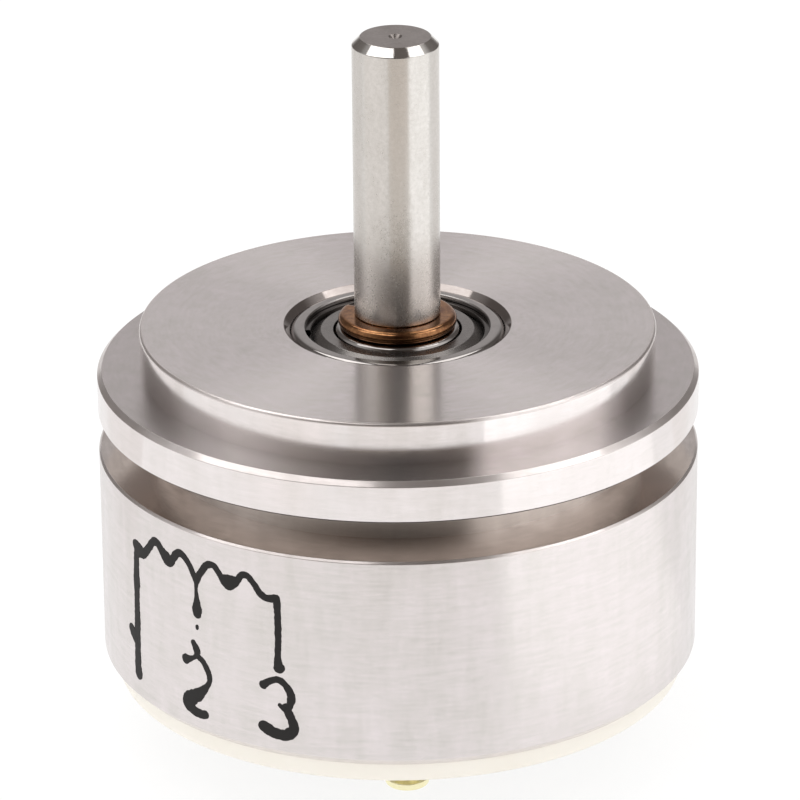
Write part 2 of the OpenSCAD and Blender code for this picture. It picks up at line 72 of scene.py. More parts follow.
# Housing. One piece of free-machining aluminium bar, turned on a lathe: a pilot that centres it
# in its panel, a flange and a groove for the servo clamps, and a thin can. The tool leaves fine
# rings on every face. The pilot's edge is rounded, and the other edges have a small chamfer.
body_r = housing_high.x / mm
can_rear_z = housing_low.z / mm
pilot_r = 9.525
groove_front_z = -1.57
groove_back_z = -3.07
groove_r = 9.0
can_wall = 1.0
chamber_z = -4.6
bore_r = 3.974
boss_r = 5.204
boss_z = -6.402
shoulder_r = 3.324
shoulder_front_z = -2.101
shoulder_back_z = -2.751
pilot_edge = 0.12
flange_edge = 0.18
groove_edge = 0.08
rear_edge = 0.35
bore_edge = 0.22
soft_edge = 0.04
fillet_steps = 5
fillet_share = 0.7
round_segments = 256
# How close a face has to lie to a height to count as lying at it
hair = 0.001
# Marks of handling on the metal: clouds, and streaks that run round the axis. Their sum changes
# the tint and the sheen between the low and the high value.
cloud_size = 0.9
cloud_stretch = 4
streak_width = 0.16
streak_length = 1.6
marks_low = 0.7
marks_high = 1.3
torn_roughness = 0.42
# A quarter turn from the run of the tool's rings
across_rings = 0.25


def linear(hex_colour):
    """An sRGB hex colour as linear red, green, blue and alpha."""
    parts = [int(hex_colour[i:i + 2], 16) / 255 for i in (1, 3, 5)]
    return [p / 12.92 if p <= 0.04045 else ((p + 0.055) / 1.055) ** 2.4 for p in parts] + [1.0]


def add_node(tree, kind, settings=None, inputs=None):
    """Adds a node, with its settings, its input values and its links."""
    node = tree.nodes.new(kind)
    for name, value in (settings or {}).items():
        setattr(node, name, value)
    for name, value in (inputs or {}).items():
        if isinstance(value, bpy.types.NodeSocket):
            tree.links.new(value, node.inputs[name])
        else:
            node.inputs[name].default_value = value
    return node


def new_material(name):
    """A material with an empty node tree."""
    material = bpy.data.materials.new(name)
    material.use_nodes = True
    material.node_tree.nodes.clear()
    return material, material.node_tree


def rounded(corners, closed):
    """The points of a profile whose corners are rounded, and the normals at both ends of each span.

    A corner is (radius, height, fillet) in mm. The profile runs with its metal on its right."""
    count = len(corners)
    points, spans = [], []
    for i, (r, z, fillet) in enumerate(corners):
        here = Vector((r, z))
        if fillet == 0 or not closed and i in (0, count - 1):
            points.append(here)
            spans.append(None)
            continue
        before = Vector(corners[i - 1][:2])
        after = Vector(corners[(i + 1) % count][:2])
        into, out = (here - before), (after - here)
        reach = fillet_share * min(into.length, out.length)
        into.normalize()
        out.normalize()
        turn = into.angle_signed(out)
        fillet = min(fillet, reach / math.tan(abs(turn) / 2))
        tangent = fillet * math.tan(abs(turn) / 2)
        side = 1 if turn > 0 else -1
        first = Vector((-into.y, into.x))
        centre = here - into * tangent - side * fillet * first
        for k in range(fillet_steps + 1):
            angle = -turn * k / fillet_steps
            normal = Vector((
                first.x * math.cos(angle) - first.y * math.sin(angle),
                first.x * math.sin(angle) + first.y * math.cos(angle)))
            points.append(centre + side * fillet * normal)
            spans.append(normal)
    normals = []
    for i, point in enumerate(points):
        j = (i + 1) % len(points)
        along = (points[j] - point).normalized()
        flat = Vector((-along.y, along.x))
        start, end = spans[i], spans[j]
        start = flat if start is None else start
        end = flat if end is None else end
        normals.append((start, end))
    return points, normals


def turned(name, corners, material, closed=False, at=(0, 0), start=0, sweep=360, segments=round_segments):
    """A solid of revolution about an upright axis, in mm, with exact normals and closed ends."""
    points, normals = rounded(corners, closed)
    whole = sweep == 360
    columns = segments if whole else segments + 1
    angles = [math.radians(start + sweep * j / segments) for j in range(columns)]
    vertices, rows = [], []
    for r, z in points:
        if r < 1e-6:
            rows.append([len(vertices)] * columns)
            vertices.append((0, 0, z * mm))
        else:
            rows.append(list(range(len(vertices), len(vertices) + columns)))
            vertices += [(r * math.cos(a) * mm, r * math.sin(a) * mm, z * mm) for a in angles]
    faces, loops = [], []
    for i in range(len(points) if closed else len(points) - 1):
        k = (i + 1) % len(points)
        for j in range(segments):
            m = (j + 1) % columns
            ring = [(rows[i][j], normals[i][0], j), (rows[k][j], normals[i][1], j),
                (rows[k][m], normals[i][1], m), (rows[i][m], normals[i][0], m)]
            used = []
            for corner in ring:
                if corner[0] not in [u[0] for u in used]:
                    used.append(corner)
            if len(used) < 3:
                continue
            faces.append([u[0] for u in used])
            loops += [(n.x * math.cos(angles[c]), n.x * math.sin(angles[c]), n.y) for _, n, c in used]
    if not whole:
        for column, side in ((0, -1), (segments, 1)):
            face = [row[column] for row in rows]
            faces.append(face if side < 0 else face[::-1])
            a = angles[column]
            loops += [(-side * math.sin(a), side * math.cos(a), 0)] * len(face)
    mesh = bpy.data.meshes.new(name)
    mesh.from_pydata(vertices, [], faces)
    mesh.polygons.foreach_set("use_smooth", [True] * len(faces))
    mesh.normals_split_custom_set(loops)
    mesh.materials.append(material)
    piece = bpy.data.objects.new(name, mesh)
    piece.location = (at[0] * mm, at[1] * mm, 0)
    bpy.context.scene.collection.objects.link(piece)
    return piece


def turned_metal(name, colours, roughness, spread, anisotropy, haze, ring_pitch, ring_depth):
    """Metal with tool rings round its axis, and with clouds and streaks that change tint and sheen.

    Pitch and depth of the rings are in mm. Haze is the share of light that torn metal scatters."""
    material, tree = new_material(name)
    place = add_node(tree, "ShaderNodeTexCoord")
    across = add_node(tree, "ShaderNodeVectorMath", {"operation": "MULTIPLY"},
        {0: place.outputs["Object"], 1: (1, 1, 0)})
    radius = add_node(tree, "ShaderNodeVectorMath", {"operation": "LENGTH"}, {0: across.outputs["Vector"]})
    height = add_node(tree, "ShaderNodeSeparateXYZ", None, {"Vector": place.outputs["Object"]})
    section = add_node(tree, "ShaderNodeCombineXYZ", None,
        {"X": radius.outputs["Value"], "Y": height.outputs["Z"]})
    rings = add_node(tree, "ShaderNodeTexNoise", None,
        {"Vector": section.outputs["Vector"], "Scale": 1 / (ring_pitch * mm), "Detail": 3.0,
            "Roughness": 0.6})
    bump = add_node(tree, "ShaderNodeBump", None,
        {"Height": rings.outputs["Fac"], "Strength": 1.0, "Distance": ring_depth * mm})
    stretched = add_node(tree, "ShaderNodeMapping", None,
        {"Vector": place.outputs["Object"], "Scale": (1, 1, 1 / cloud_stretch)})
    clouds = add_node(tree, "ShaderNodeTexNoise", None,
        {"Vector": stretched.outputs["Vector"], "Scale": 1 / (cloud_size * mm), "Detail": 5.0,
            "Roughness": 0.65})
    way = add_node(tree, "ShaderNodeVectorMath", {"operation": "NORMALIZE"}, {0: across.outputs["Vector"]})
    turn = add_node(tree, "ShaderNodeVectorMath", {"operation": "SCALE"},
        {0: way.outputs["Vector"], "Scale": streak_length * mm})
    turn_axes = add_node(tree, "ShaderNodeSeparateXYZ", None, {"Vector": turn.outputs["Vector"]})
    round_place = add_node(tree, "ShaderNodeCombineXYZ", None,
        {"X": radius.outputs["Value"], "Y": height.outputs["Z"], "Z": turn_axes.outputs["X"]})
    streaks = add_node(tree, "ShaderNodeTexNoise", {"noise_dimensions": "4D"},
        {"Vector": round_place.outputs["Vector"], "W": turn_axes.outputs["Y"],
            "Scale": 1 / (streak_width * mm), "Detail": 4.0, "Roughness": 0.7})
    marks = add_node(tree, "ShaderNodeMath", {"operation": "ADD"},
        {0: clouds.outputs["Fac"], 1: streaks.outputs["Fac"]})
    sheen = add_node(tree, "ShaderNodeMapRange", None,
        {"Value": marks.outputs["Value"], "From Min": marks_low, "From Max": marks_high,
            "To Min": roughness - spread, "To Max": roughness + spread})
    worn = add_node(tree, "ShaderNodeMapRange", None,
        {"Value": marks.outputs["Value"], "From Min": marks_low, "From Max": marks_high})
    tint = add_node(tree, "ShaderNodeMix", {"data_type": "RGBA"},
        {"Factor": worn.outputs["Result"], 6: linear(colours[0]), 7: linear(colours[1])})
    tangent = add_node(tree, "ShaderNodeTangent", {"direction_type": "RADIAL", "axis": "Z"})
    clear = add_node(tree, "ShaderNodeBsdfPrincipled", None,
        {"Base Color": tint.outputs[2], "Metallic": 1.0, "Roughness": sheen.outputs["Result"],
            "Anisotropic": anisotropy, "Anisotropic Rotation": across_rings,
            "Tangent": tangent.outputs["Tangent"], "Normal": bump.outputs["Normal"]})
    torn = add_node(tree, "ShaderNodeBsdfPrincipled", None,
        {"Base Color": tint.outputs[2], "Metallic": 1.0, "Roughness": torn_roughness,
            "Anisotropic": anisotropy, "Anisotropic Rotation": across_rings,
            "Tangent": tangent.outputs["Tangent"], "Normal": bump.outputs["Normal"]})
    both = add_node(tree, "ShaderNodeMixShader", None,
        {0: haze, 1: clear.outputs["BSDF"], 2: torn.outputs["BSDF"]})
    add_node(tree, "ShaderNodeOutputMaterial", None, {"Surface": both.outputs["Shader"]})
    return material


def finish_ring(piece, material, radii, heights):
    """Gives another finish to the faces between two radii and between two heights in mm."""
    piece.data.materials.append(material)
    for face in piece.data.polygons:
        r = face.center.xy.length / mm
        z = face.center.z / mm
        if radii[0] < r < radii[1] and heights[0] < z < heights[1]:
            face.material_index = len(piece.data.materials) - 1


# Bare aluminium is a bright, slightly warm grey. The rings of the tool blur what it mirrors across
# them and leave it sharp along them. Real rings lie about 0.03 mm apart, too fine to show: these
# are four times as coarse.
turned_aluminium = turned_metal(
    "turned_aluminium", ("#efe7e7", "#e2ddd9"), roughness=0.22, spread=0.04, anisotropy=0.85,
    haze=0.16, ring_pitch=0.12, ring_depth=0.0002)
# A finer feed leaves the walls of the pilot and the flange brighter and clearer.
fine_aluminium = turned_metal(
    "fine_turned_aluminium", ("#f6efee", "#ebe5e2"), roughness=0.13, spread=0.03, anisotropy=0.8,
    haze=0.1, ring_pitch=0.12, ring_depth=0.0002)
# The lead-in of the bore is cut with a boring bar and is clean. Its dark colour is painted shade, for the
# narrow gap between it and the bearing's rounded corner.
bore_painted_shade_aluminium = turned_metal(
    "bore_painted_shade_aluminium", ("#aea6a2", "#9b928e"), roughness=0.10, spread=0.03, anisotropy=0.6,
    haze=0.0, ring_pitch=0.12, ring_depth=0.0002)
# The flanks of the parting tool leave the sides of the groove smooth. They are a little dark as painted
# shade, for the depth of the groove.
groove_sides_painted_shade = turned_metal(
    "groove_sides_aluminium_painted_shade", ("#dad2cd", "#c2bab5"), roughness=0.17, spread=0.04, anisotropy=0.6,
    haze=0.0, ring_pitch=0.12, ring_depth=0.0002)
# The flange's ledge is faced up to the pilot's wall. It is greyer than the pilot's face as painted shade,
# for the light that the pilot's wall keeps off it.
ledge_painted_shade = turned_metal(
    "ledge_aluminium_painted_shade", ("#dbd3d3", "#cfcac6"), roughness=0.22, spread=0.04, anisotropy=0.85,
    haze=0.16, ring_pitch=0.12, ring_depth=0.0002)
# The groove's root is cut by the whole width of the tool, so half of its light is scattered.
torn_aluminium = turned_metal(
    "torn_groove_aluminium", ("#fbf3ed", "#e6ded8"), roughness=0.2, spread=0.05, anisotropy=0.3,
    haze=0.45, ring_pitch=0.12, ring_depth=0.0004)
# A file has broken the front edges of the pilot, the flange and the can, which are hazy.
filed_aluminium = turned_metal(
    "filed_aluminium", ("#f4ecea", "#e0d8d4"), roughness=0.18, spread=0.05, anisotropy=0.7,
    haze=0.55, ring_pitch=0.12, ring_depth=0.0003)

housing = turned("turned_housing", [
    (bore_r + bore_edge, pilot_top, soft_edge),
    (pilot_r, pilot_top, pilot_edge),
    (pilot_r, 0, 0),
    (body_r - flange_edge, 0, soft_edge), (body_r, -flange_edge, soft_edge),
    (body_r, groove_front_z + groove_edge, soft_edge), (body_r - groove_edge, groove_front_z, soft_edge),
    (groove_r, groove_front_z, 0), (groove_r, groove_back_z, 0),
    (body_r - groove_edge, groove_back_z, soft_edge), (body_r, groove_back_z - groove_edge, soft_edge),
    (body_r, can_rear_z + rear_edge, soft_edge), (body_r - rear_edge, can_rear_z, soft_edge),
    (body_r - can_wall, can_rear_z, soft_edge), (body_r - can_wall, chamber_z, 0),
    (boss_r, chamber_z, 0), (boss_r, boss_z, soft_edge),
    (bore_r, boss_z, soft_edge), (bore_r, shoulder_back_z, soft_edge),
    (shoulder_r, shoulder_back_z, soft_edge), (shoulder_r, shoulder_front_z, soft_edge),
    (bore_r, shoulder_front_z, soft_edge), (bore_r, pilot_top - bore_edge, soft_edge),
], turned_aluminium, closed=True)
finish_ring(housing, fine_aluminium, (pilot_r - pilot_edge, body_r), (hair, pilot_top))
finish_ring(housing, fine_aluminium, (body_r - flange_edge - soft_edge, body_r), (groove_front_z, -hair))
# The ledge beside the pilot's wall, greyer as painted shade
finish_ring(housing, ledge_painted_shade, (pilot_r, body_r - flange_edge), (-hair, hair))
finish_ring(housing, filed_aluminium, (pilot_r - pilot_edge, pilot_r),
    (pilot_top - pilot_edge, pilot_top - hair))
# The sides of the groove, darker as painted shade
finish_ring(housing, groove_sides_painted_shade, (groove_r, body_r), (groove_back_z - hair, groove_back_z + hair))
finish_ring(housing, groove_sides_painted_shade, (groove_r, body_r), (groove_front_z - hair, groove_front_z + hair))
finish_ring(housing, torn_aluminium, (groove_r - soft_edge, groove_r), (groove_back_z, groove_front_z))
finish_ring(housing, filed_aluminium, (body_r - flange_edge - soft_edge, body_r),
    (-flange_edge - soft_edge, -hair))
finish_ring(housing, filed_aluminium, (body_r - groove_edge - soft_edge, body_r),
    (groove_back_z - groove_edge - soft_edge, groove_back_z - hair))
# The bore's lead-in, darkened as painted shade
finish_ring(housing, bore_painted_shade_aluminium, (bore_r - soft_edge, bore_r + bore_edge + soft_edge),
    (pilot_top - bore_edge - soft_edge, pilot_top - hair))
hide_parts("housing")
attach(housing, "housing")

# Print. Black marking ink rolled on the can from a worn stamp: the resistor between terminals
# 1 and 3, the wiper's lead to terminal 2, and the three digits. The ink is thin, and swells
# where a stroke begins, turns or ends.
ink_t = 0.012
ink_root = 0.02
ink_step = 0.06
ink_ragged = 0.16
ink_ragged_length = 0.11
ink_patch = 0.12
# Each stroke lies a little higher than the one before, so that crossings stay clean
ink_lift = 0.1
cap_shares = (0.3, 0.6, 0.85, 0.98)
# Each stroke is a list of (arc length from the front, height, width) in mm on the can
ink_strokes = [
    [(-11.40, -4.98, 0.46), (-11.10, -4.95, 0.38), (-10.86, -4.84, 0.36), (-10.54, -4.47, 0.32),
        (-10.25, -4.16, 0.32), (-9.99, -4.18, 0.34), (-9.74, -4.42, 0.32), (-9.58, -4.60, 0.36),
        (-9.34, -4.70, 0.34), (-9.13, -4.46, 0.32), (-8.92, -4.19, 0.32), (-8.66, -4.13, 0.30),
        (-8.33, -4.38, 0.25), (-8.09, -4.73, 0.27), (-7.95, -4.94, 0.32)],
    [(-7.95, -4.94, 0.32), (-7.78, -4.66, 0.27), (-7.42, -4.19, 0.28), (-7.09, -4.15, 0.26),
        (-6.81, -4.45, 0.25), (-6.62, -4.69, 0.29), (-6.41, -4.76, 0.32), (-6.12, -4.51, 0.28),
        (-5.90, -4.20, 0.26), (-5.64, -4.19, 0.26), (-5.38, -4.46, 0.25), (-5.15, -4.75, 0.27),
        (-4.87, -4.90, 0.28), (-4.52, -4.83, 0.30)],
    [(-11.54, -4.76, 0.42), (-11.30, -4.80, 0.46), (-11.02, -4.92, 0.42)],
    [(-9.72, -4.40, 0.40), (-9.50, -4.52, 0.46), (-9.36, -4.62, 0.44)],
    [(-6.72, -4.50, 0.26), (-6.50, -4.52, 0.40), (-6.22, -4.50, 0.36)],
    [(-11.40, -4.84, 0.48), (-11.50, -5.29, 0.36), (-11.53, -5.80, 0.38), (-11.53, -6.28, 0.46),
        (-11.54, -6.60, 0.36), (-11.56, -7.45, 0.38), (-11.56, -7.90, 0.40)],
    [(-12.04, -8.34, 0.44), (-11.90, -8.48, 0.42), (-11.68, -8.76, 0.28)],
    [(-11.56, -7.90, 0.40), (-11.58, -8.50, 0.40), (-11.60, -9.30, 0.42), (-11.60, -9.66, 0.46),
        (-11.56, -9.96, 0.50)],
    [(-7.95, -4.94, 0.26), (-7.97, -5.32, 0.14), (-7.95, -5.70, 0.26), (-7.95, -6.06, 0.46),
        (-7.94, -6.26, 0.38)],
    [(-7.96, -6.78, 0.15), (-7.96, -6.84, 0.15)],
    [(-8.17, -7.48, 0.24), (-8.00, -7.74, 0.33), (-8.01, -7.92, 0.25)],
    [(-8.56, -8.25, 0.40), (-8.24, -8.12, 0.19), (-7.99, -7.95, 0.22)],
    [(-8.01, -7.92, 0.23), (-7.66, -8.17, 0.25), (-7.42, -8.62, 0.25), (-7.50, -8.98, 0.22),
        (-7.92, -9.45, 0.46), (-8.38, -9.78, 0.60), (-8.52, -10.00, 0.50), (-8.24, -10.20, 0.40),
        (-7.90, -10.26, 0.36), (-7.66, -10.22, 0.33)],
    [(-4.50, -4.84, 0.30), (-4.47, -5.44, 0.26), (-4.46, -6.22, 0.26), (-4.48, -7.05, 0.25),
        (-4.48, -7.36, 0.32), (-4.44, -7.56, 0.44)],
    [(-5.08, -8.34, 0.34), (-4.80, -8.14, 0.25), (-4.50, -8.04, 0.27), (-4.20, -8.22, 0.26),
        (-3.99, -8.62, 0.32), (-4.06, -9.02, 0.28), (-4.20, -9.20, 0.24), (-4.44, -9.04, 0.16)],
    [(-4.20, -9.10, 0.34), (-3.98, -9.56, 0.34), (-3.92, -9.94, 0.42), (-4.20, -10.20, 0.46),
        (-4.62, -10.20, 0.42), (-4.92, -10.08, 0.46), (-5.10, -10.00, 0.44)],
]


def smooth_stroke(stroke):
    """Points of even spacing on a smooth line through a stroke's points, with round ends."""
    line = [Vector(p) for p in stroke]
    line = [2 * line[0] - line[1]] + line + [2 * line[-1] - line[-2]]
    points = []
    for a, b, c, d in zip(line, line[1:], line[2:], line[3:]):
        steps = max(2, round((c - b).length / ink_step))
        for k in range(steps):
            t = k / steps
            points.append(0.5 * (2 * b + (c - a) * t + (2 * a - 5 * b + 4 * c - d) * t * t
                + (3 * b - a - 3 * c + d) * t * t * t))
    points.append(line[-2])
    caps = []
    for end, beside in ((points[0], points[1]), (points[-1], points[-2])):
        away = (end - beside).xy.normalized()
        half = end.z / 2
        cap = []
        for share in cap_shares:
            tip = end.xy + away * half * share
            cap.append(Vector((tip.x, tip.y, end.z * math.sqrt(1 - share * share))))
        caps.append(cap)
    return caps[0][::-1] + points + caps[1]


def on_can(arc, height, radius):
    """A point over the can, from its arc length from the front, its height and its radius in mm."""
    angle = arc / body_r
    return Vector((radius * math.sin(angle), -radius * math.cos(angle), height)) * mm


def print_on_can(name, strokes, material):
    """A mesh of raised strokes on the can's wall."""
    vertices, faces = [], []
    for number, stroke in enumerate(strokes):
        points = smooth_stroke(stroke)
        top_r = body_r + ink_t * (1 + ink_lift * number / len(strokes))
        first = len(vertices)
        for i, point in enumerate(points):
            ahead = points[min(i + 1, len(points) - 1)].xy - points[max(i - 1, 0)].xy
            ahead.normalize()
            across = Vector((-ahead.y, ahead.x))
            for side in (1, -1):
                edge = Vector((point.x, point.y, side * 3)) / ink_ragged_length
                half = point.z / 2 * (1 + ink_ragged * noise.noise(edge))
                x, z = point.xy + side * half * across
                vertices += [on_can(x, z, top_r), on_can(x, z, body_r - ink_root)]
        for i in range(len(points) - 1):
            a, b = first + 4 * i, first + 4 * i + 4
            faces += [(a, a + 2, b + 2, b), (a + 1, a, b, b + 1), (a + 2, a + 3, b + 3, b + 2)]
        end = first + 4 * (len(points) - 1)
        faces += [(first, first + 1, first + 3, first + 2), (end, end + 2, end + 3, end + 1)]
    mesh = bpy.data.meshes.new(name)
    mesh.from_pydata(vertices, [], faces)
    mesh.materials.append(material)
    piece = bpy.data.objects.new(name, mesh)
    bpy.context.scene.collection.objects.link(piece)
    return piece


# Dried epoxy marking ink: nearly black, with a dull gloss that is patchy where it is thin.
marking_ink, ink_tree = new_material("marking_ink")
ink_place = add_node(ink_tree, "ShaderNodeTexCoord")
ink_patches = add_node(ink_tree, "ShaderNodeTexNoise", None,
    {"Vector": ink_place.outputs["Object"], "Scale": 1 / (ink_patch * mm), "Detail": 3.0})
ink_tint = add_node(ink_tree, "ShaderNodeMix", {"data_type": "RGBA"},
    {"Factor": ink_patches.outputs["Fac"], 6: linear("#0b0908"), 7: linear("#1f1a18")})
ink_dullness = add_node(ink_tree, "ShaderNodeMapRange", None,
    {"Value": ink_patches.outputs["Fac"], "To Min": 0.5, "To Max": 0.7})
ink_shader = add_node(ink_tree, "ShaderNodeBsdfPrincipled", None,
    {"Base Color": ink_tint.outputs[2], "Roughness": ink_dullness.outputs["Result"], "IOR": 1.45})
add_node(ink_tree, "ShaderNodeOutputMaterial", None, {"Surface": ink_shader.outputs["BSDF"]})

ink_print = print_on_can("circuit_print", ink_strokes, marking_ink)
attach(ink_print, "housing")

# Shaft. Stainless steel rod, ground between centres to run in the bearings, with a rounded
# chamfer and a small centre mark at its free end and a groove for the retaining ring.
shaft_r = 1.5875
shaft_top_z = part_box("shaft")[1].z / mm
shaft_rear_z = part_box("shaft")[0].z / mm
shaft_edge = 0.3
shaft_round = 0.06
shaft_segments = 128
centre_mark_r = 0.25
clip_low_z = 1.49
clip_high_z = 1.99
clip_root_r = 1.3875
clip_play = 0.02

# Stainless steel is darker and a little yellower than aluminium. Grinding and handling leave it
# satin, so that what it mirrors stands in upright bands with soft edges and ends.
ground_steel = turned_metal(
    "ground_steel", ("#dedad6", "#cfcbc5"), roughness=0.25, spread=0.06, anisotropy=0.3,
    haze=0.02, ring_pitch=0.1, ring_depth=0.0002)

# The chamfer is turned before the grinding and keeps a clear, bright face.
turned_steel = turned_metal(
    "turned_steel", ("#e6e2de", "#d8d4ce"), roughness=0.12, spread=0.04, anisotropy=0.8,
    haze=0.01, ring_pitch=0.1, ring_depth=0.0002)

# The free end is faced, not ground: duller and darker.
faced_steel = turned_metal(
    "faced_steel", ("#aba39f", "#948d89"), roughness=0.32, spread=0.06, anisotropy=0.5,
    haze=0.15, ring_pitch=0.1, ring_depth=0.0004)

shaft = turned("ground_shaft", [
    (0, shaft_top_z - centre_mark_r, 0), (centre_mark_r, shaft_top_z, soft_edge),
    (shaft_r - shaft_edge, shaft_top_z, shaft_round), (shaft_r, shaft_top_z - shaft_edge, shaft_round),
    (shaft_r, clip_high_z + clip_play, soft_edge), (clip_root_r, clip_high_z + clip_play, soft_edge),
    (clip_root_r, clip_low_z - clip_play / 2, soft_edge),
    (shaft_r, clip_low_z - clip_play / 2, soft_edge),
    (shaft_r, shaft_rear_z + shaft_edge / 2, soft_edge),
    (shaft_r - shaft_edge / 2, shaft_rear_z, soft_edge),
    (0, shaft_rear_z, 0),
], ground_steel, segments=shaft_segments)
finish_ring(shaft, turned_steel, (shaft_r - shaft_edge, shaft_r), (shaft_top_z - shaft_edge, shaft_top_z))
finish_ring(shaft, faced_steel, (0, shaft_r - shaft_edge),
    (shaft_top_z - 2 * centre_mark_r, shaft_top_z + soft_edge))
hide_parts("shaft")
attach(shaft, "rotor")

# Retaining ring. Phosphor bronze strip rolled to an open ring, round on its outside, that snaps
# into the shaft's groove in front of the bearing.
clip_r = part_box("retaining_ring")[1].x / mm
clip_open = 50
clip_angle = 132
clip_round = 0.248
clip_edge = 0.03

# Bronze that has darkened: brown in its shade, gold and copper where the light strikes it.
tarnished_bronze = turned_metal(
    "tarnished_bronze", ("#c29064", "#6c422c"), roughness=0.14, spread=0.05, anisotropy=0.3,
    haze=0.02, ring_pitch=0.06, ring_depth=0.0006)

clip = turned("bronze_ring", [
    (clip_root_r + clip_play, clip_high_z, clip_edge), (clip_r, clip_high_z, clip_round),
    (clip_r, clip_low_z, clip_round), (clip_root_r + clip_play, clip_low_z, clip_edge),
], tarnished_bronze, closed=True, start=clip_angle + clip_open / 2, sweep=360 - clip_open,
    segments=shaft_segments)
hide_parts("retaining_ring")
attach(clip, "rotor")

# Bearing rings. Through-hardened chromium steel, ground and polished on every face, with a
# stepped groove for the shield on each side of the outer ring, which sits in the pilot's bore.
bearing_r = 3.96875
bearing_half = 1.7855
bearing_sink = 0.1
front_bearing_z = pilot_top - bearing_sink - bearing_half
ring_corner = 0.3
ring_edge = 0.02
land_round = 0.2
mouth_edge = 0.06
mouth_r = 3.4118
shield_groove_r = 3.6118
outer_land_r = 3.2546
inner_land_r = 2.3017
inner_bore_r = 1.5925
lip_low = 1.6055
shield_under = 1.2355

# Polished chromium steel: a dark mirror with hardly a mark.
polished_steel = turned_metal(
    "polished_steel", ("#b3aeab", "#a6a19e"), roughness=0.1, spread=0.03, anisotropy=0.3,
    haze=0.02, ring_pitch=0.06, ring_depth=0.0001)

ring_side = [(mouth_r, bearing_half, mouth_edge), (bearing_r, bearing_half, ring_corner)]
ring_inside = [
    (mouth_r, -lip_low, ring_edge), (shield_groove_r, -lip_low, ring_edge),
    (shield_groove_r, -shield_under, ring_edge), (outer_land_r, -shield_under, ring_edge)]
ring_profile = ring_side + [(r, -z, edge) for r, z, edge in ring_side[::-1]]
ring_profile += ring_inside + [(r, -z, edge) for r, z, edge in ring_inside[::-1]]
front_ring = turned("front_outer_race", [(r, front_bearing_z + z, edge) for r, z, edge in ring_profile],
    polished_steel, closed=True)
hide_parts("front_bearing_outer_ring")
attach(front_ring, "housing")

front_inner = turned("front_inner_race", [
    (inner_bore_r, front_bearing_z + bearing_half, ring_corner),
    (inner_land_r, front_bearing_z + bearing_half, land_round),
    (inner_land_r, front_bearing_z - bearing_half, land_round),
    (inner_bore_r, front_bearing_z - bearing_half, ring_corner),
], polished_steel, closed=True, segments=shaft_segments)
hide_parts("front_bearing_inner_ring")
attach(front_inner, "rotor")

# Shield. Pressed from stainless strip 0.12 mm thick: a flat ring that stops short of the inner
# ring, and a lower rim that the snap ring holds in its groove. It doesn't turn.
shield_t = 0.12
shield_sink = 0.12
shield_rise = 1.3755
shield_flat_z = front_bearing_z + bearing_half - shield_sink
shield_seat_z = front_bearing_z + shield_rise
shield_bore_r = 2.3717
shield_flat_r = 2.8217
shield_slope_r = 3.1846
shield_r = 3.5918
shield_bend = 0.06
sheared_edge = 0.02

# Rolled stainless strip: greyer than the rings, and evenly dull. Part of its dark grey is painted shade,
# for the recess it lies in under the outer ring's face.
rolled_strip_and_painted_shade = turned_metal(
    "rolled_strip_and_painted_shade", ("#95908d", "#84807d"), roughness=0.26, spread=0.05, anisotropy=0.3,
    haze=0.06, ring_pitch=0.1, ring_depth=0.0003)

shield = turned("front_shield", [
    (shield_bore_r, shield_flat_z, sheared_edge), (shield_flat_r, shield_flat_z, shield_bend),
    (shield_slope_r, shield_seat_z, shield_bend), (shield_r, shield_seat_z, sheared_edge),
    (shield_r, shield_seat_z - shield_t, sheared_edge),
    (shield_slope_r - shield_t / 2, shield_seat_z - shield_t, shield_bend),
    (shield_flat_r - shield_t / 2, shield_flat_z - shield_t, shield_bend),
    (shield_bore_r, shield_flat_z - shield_t, sheared_edge),
], rolled_strip_and_painted_shade, closed=True)
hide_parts("front_bearing_outer_shield")
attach(shield, "housing")

# Snap ring of the shield. Flattened spring wire, sprung into the groove over the shield's rim.
# It is open at the left.
snap_rise = 1.5955
snap_z = front_bearing_z + snap_rise
snap_t = 0.2
snap_play = 0.02
snap_open = 20
snap_round = 0.05

# Spring steel wire, darkened by its heat treatment, with a clear gloss. It is nearly black partly as
# painted shade, for the deep groove of the shield that it sits in.
spring_wire_and_painted_shade = turned_metal(
    "spring_wire_and_painted_shade", ("#5a5552", "#4a4643"), roughness=0.16, spread=0.05, anisotropy=0.3,
    haze=0.02, ring_pitch=0.06, ring_depth=0.0002)
snap = turned("front_snap_ring", [
    (shield_slope_r + snap_play, snap_z, snap_round),
    (shield_groove_r - snap_play, snap_z, snap_round),
    (shield_groove_r - snap_play, snap_z - snap_t, snap_round),
    (shield_slope_r + snap_play, snap_z - snap_t, snap_round),
], spring_wire_and_painted_shade, closed=True, start=180 + snap_open, sweep=360 - snap_open)
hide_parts("front_bearing_outer_snap_ring")
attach(snap, "housing")

# Rear cover. Moulded in diallyl phthalate, a cream thermoset, with a rim against the can, a
# shallow recess and a boss round each terminal. The edges are round from the mould.
cover_low, cover_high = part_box("rear_cover")
cover_r = cover_high.x / mm
cover_top_z = cover_high.z / mm
plug_r = 10.1075
cover_rim_z = -11.22
cover_rear_z = -11.97
boss_rear_z = cover_low.z / mm
cover_edge = 0.15
recess_r = 3.2
recess_z = -11.72
seat_round = 0.03
rim_round = 0.05
recess_round = 0.08
cover_boss_r = 1.4
boss_root = 0.2
boss_taper = 0.1
boss_round = 0.06
hole_round = 0.04
boss_segments = 64
terminal_circle_r = 5.5
terminal_angles = [152.4, 272.4, 32.4]
terminal_spots = [
    (terminal_circle_r * math.cos(math.radians(angle)), terminal_circle_r * math.sin(math.radians(angle)))
    for angle in terminal_angles]
terminal_hole_r = 0.455

